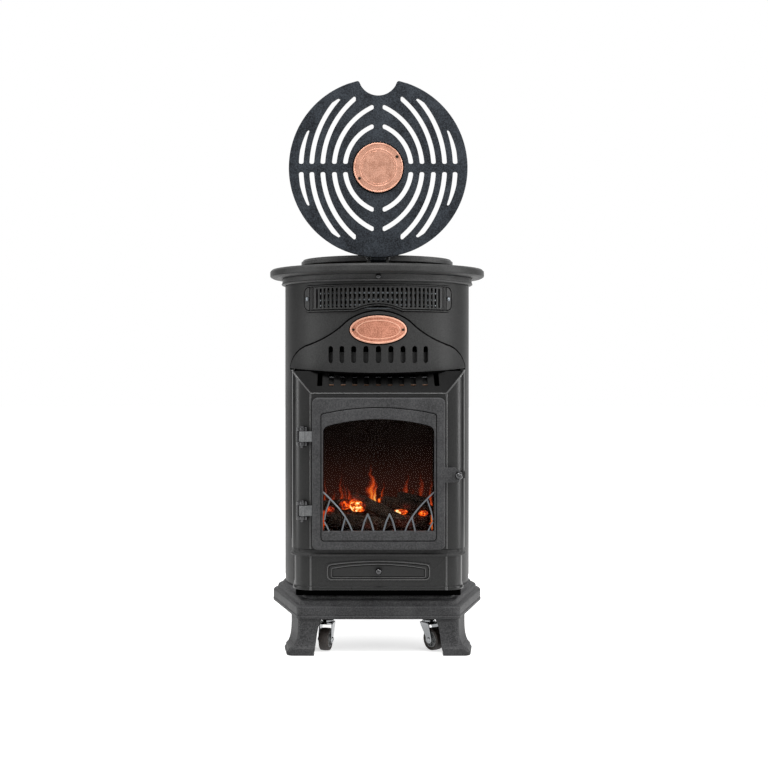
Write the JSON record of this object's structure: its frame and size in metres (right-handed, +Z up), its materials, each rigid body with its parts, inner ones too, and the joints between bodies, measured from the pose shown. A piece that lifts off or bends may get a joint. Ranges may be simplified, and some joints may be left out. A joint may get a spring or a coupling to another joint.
{
  "type": "potbelly stove",
  "caption": "Free-standing black potbelly stove with a glazed arched door, ash drawer, slotted hinged trivet, cast plinth, corner legs and castors.",
  "frame": {"origin": "on the floor, under the middle of the stove's overall box; the drum's axis is 12.15 mm behind it", "axes": "+Z up, -Y towards the front of the stove, +X towards its right as seen from the front"},
  "size_m": [0.426, 0.4542, 1.0663],
  "materials": {
    "cast_black": "matte black sand-cast iron",
    "drum_paint": "matte charcoal stove paint on sheet steel",
    "door_paint": "satin charcoal paint on a fine casting",
    "dark_sheet": "matte black heat-proof paint on sheet steel",
    "copper": "polished copper-coloured metal with a hammered field",
    "satin_steel": "satin steel",
    "castor_chrome": "bright chrome plate",
    "wheel_rubber": "dark moulded rubber",
    "door_glass": "smoked toughened glass",
    "flame_film": "frosted flame screen that glows from behind",
    "ember_resin": "moulded translucent resin embers, lit from below",
    "log_ceramic": "charred ceramic logs",
    "black_plastic": "black moulded plastic",
    "element_ceramic": "ribbed ceramic heating block"
  },
  "bodies": {
    "stove": {"base_plinth": "cast_black", "leg_front_left": "cast_black", "leg_front_right": "cast_black", "leg_rear_left": "cast_black", "leg_rear_right": "cast_black", "plinth_spacer": "dark_sheet", "drum_shell": "drum_paint", "collar_ring": "cast_black", "top_plate": "cast_black", "hob_disc": "cast_black", "outlet_grille": "cast_black", "grille_screw_left": "satin_steel", "grille_screw_right": "satin_steel", "element_guard": "satin_steel", "hood": "drum_paint", "badge": "copper", "back_cover": "dark_sheet", "cord_gland": "black_plastic", "pillar_right": "drum_paint", "pillar_left": "drum_paint", "bay_roof": "drum_paint", "door_surround": "drum_paint", "mid_ledge": "cast_black", "lower_front": "drum_paint", "firebox": "dark_sheet", "ember_bed": "ember_resin", "log_back": "log_ceramic", "log_left": "log_ceramic", "log_right": "log_ceramic", "flame_screen": "flame_film", "flicker_motor": "dark_sheet", "heater_housing": "dark_sheet", "heating_element": "element_ceramic", "fan_motor": "dark_sheet", "hinge_bracket_upper": "door_paint", "hinge_pin_upper": "satin_steel", "hinge_bracket_lower": "door_paint", "hinge_pin_lower": "satin_steel", "latch_keeper": "dark_sheet", "trivet_hinge_bracket": "cast_black", "trivet_hinge_pin": "satin_steel"},
    "door": {"door_frame": "door_paint", "door_glass": "door_glass", "fire_fret": "satin_steel"},
    "latch": {"latch_knob": "satin_steel"},
    "drawer": {"drawer_front": "drum_paint", "drawer_tray": "dark_sheet", "drawer_knob": "cast_black"},
    "trivet_lid": {"trivet": "cast_black", "trivet_medallion": "copper"},
    "castor_front_left": {"castor_fork_front_left": "castor_chrome"},
    "castor_front_right": {"castor_fork_front_right": "castor_chrome"},
    "castor_rear_left": {"castor_fork_rear_left": "castor_chrome"},
    "castor_rear_right": {"castor_fork_rear_right": "castor_chrome"},
    "wheel_front_left": {"castor_wheel_front_left": "wheel_rubber"},
    "wheel_front_right": {"castor_wheel_front_right": "wheel_rubber"},
    "wheel_rear_left": {"castor_wheel_rear_left": "wheel_rubber"},
    "wheel_rear_right": {"castor_wheel_rear_right": "wheel_rubber"},
    "fan": {"fan_rotor": "satin_steel"},
    "flicker": {"flicker_spindle": "satin_steel"}
  },
  "joints": [
    {"name": "door_hinge", "type": "hinge", "parent": "stove", "child": "door", "pos_m": [-0.14, -0.20365, 0.3347], "axis": [0, 0, -1], "range_deg": [0, 110]},
    {"name": "latch_turn", "type": "hinge", "parent": "door", "child": "latch", "pos_m": [0.146, -0.21, 0.3323], "axis": [0, -1, 0], "range_deg": [0, 90]},
    {"name": "drawer_slide", "type": "slide", "parent": "stove", "child": "drawer", "axis": [0, -1, 0], "range_m": [0, 0.12]},
    {"name": "trivet_hinge", "type": "hinge", "parent": "stove", "child": "trivet_lid", "pos_m": [0, -0.13785, 0.733], "axis": [1, 0, 0], "range_deg": [-90, 0]},
    {"name": "castor_front_left_swivel", "type": "hinge", "parent": "stove", "child": "castor_front_left", "pos_m": [-0.095, -0.14085, 0.06], "axis": [0, 0, 1], "continuous": true},
    {"name": "castor_front_right_swivel", "type": "hinge", "parent": "stove", "child": "castor_front_right", "pos_m": [0.095, -0.14085, 0.06], "axis": [0, 0, 1], "continuous": true},
    {"name": "castor_rear_left_swivel", "type": "hinge", "parent": "stove", "child": "castor_rear_left", "pos_m": [-0.095, 0.16515, 0.06], "axis": [0, 0, 1], "continuous": true},
    {"name": "castor_rear_right_swivel", "type": "hinge", "parent": "stove", "child": "castor_rear_right", "pos_m": [0.095, 0.16515, 0.06], "axis": [0, 0, 1], "continuous": true},
    {"name": "castor_front_left_roll", "type": "hinge", "parent": "castor_front_left", "child": "wheel_front_left", "pos_m": [-0.09812, -0.15552, 0.0213], "axis": [0.9781, -0.2079, 0], "continuous": true},
    {"name": "castor_front_right_roll", "type": "hinge", "parent": "castor_front_right", "child": "wheel_front_right", "pos_m": [0.10403, -0.15283, 0.0213], "axis": [0.7986, 0.6018, 0], "continuous": true},
    {"name": "castor_rear_left_roll", "type": "hinge", "parent": "castor_rear_left", "child": "wheel_rear_left", "pos_m": [-0.08987, 0.17925, 0.0213], "axis": [-0.9397, 0.342, 0], "continuous": true},
    {"name": "castor_rear_right_roll", "type": "hinge", "parent": "castor_rear_right", "child": "wheel_rear_right", "pos_m": [0.08866, 0.17874, 0.0213], "axis": [-0.9063, -0.4226, 0], "continuous": true},
    {"name": "fan_spin", "type": "hinge", "parent": "stove", "child": "fan", "pos_m": [0, -0.07935, 0.643], "axis": [1, 0, 0], "continuous": true},
    {"name": "flicker_spin", "type": "hinge", "parent": "stove", "child": "flicker", "pos_m": [0, -0.03385, 0.237], "axis": [1, 0, 0], "continuous": true}
  ]
}
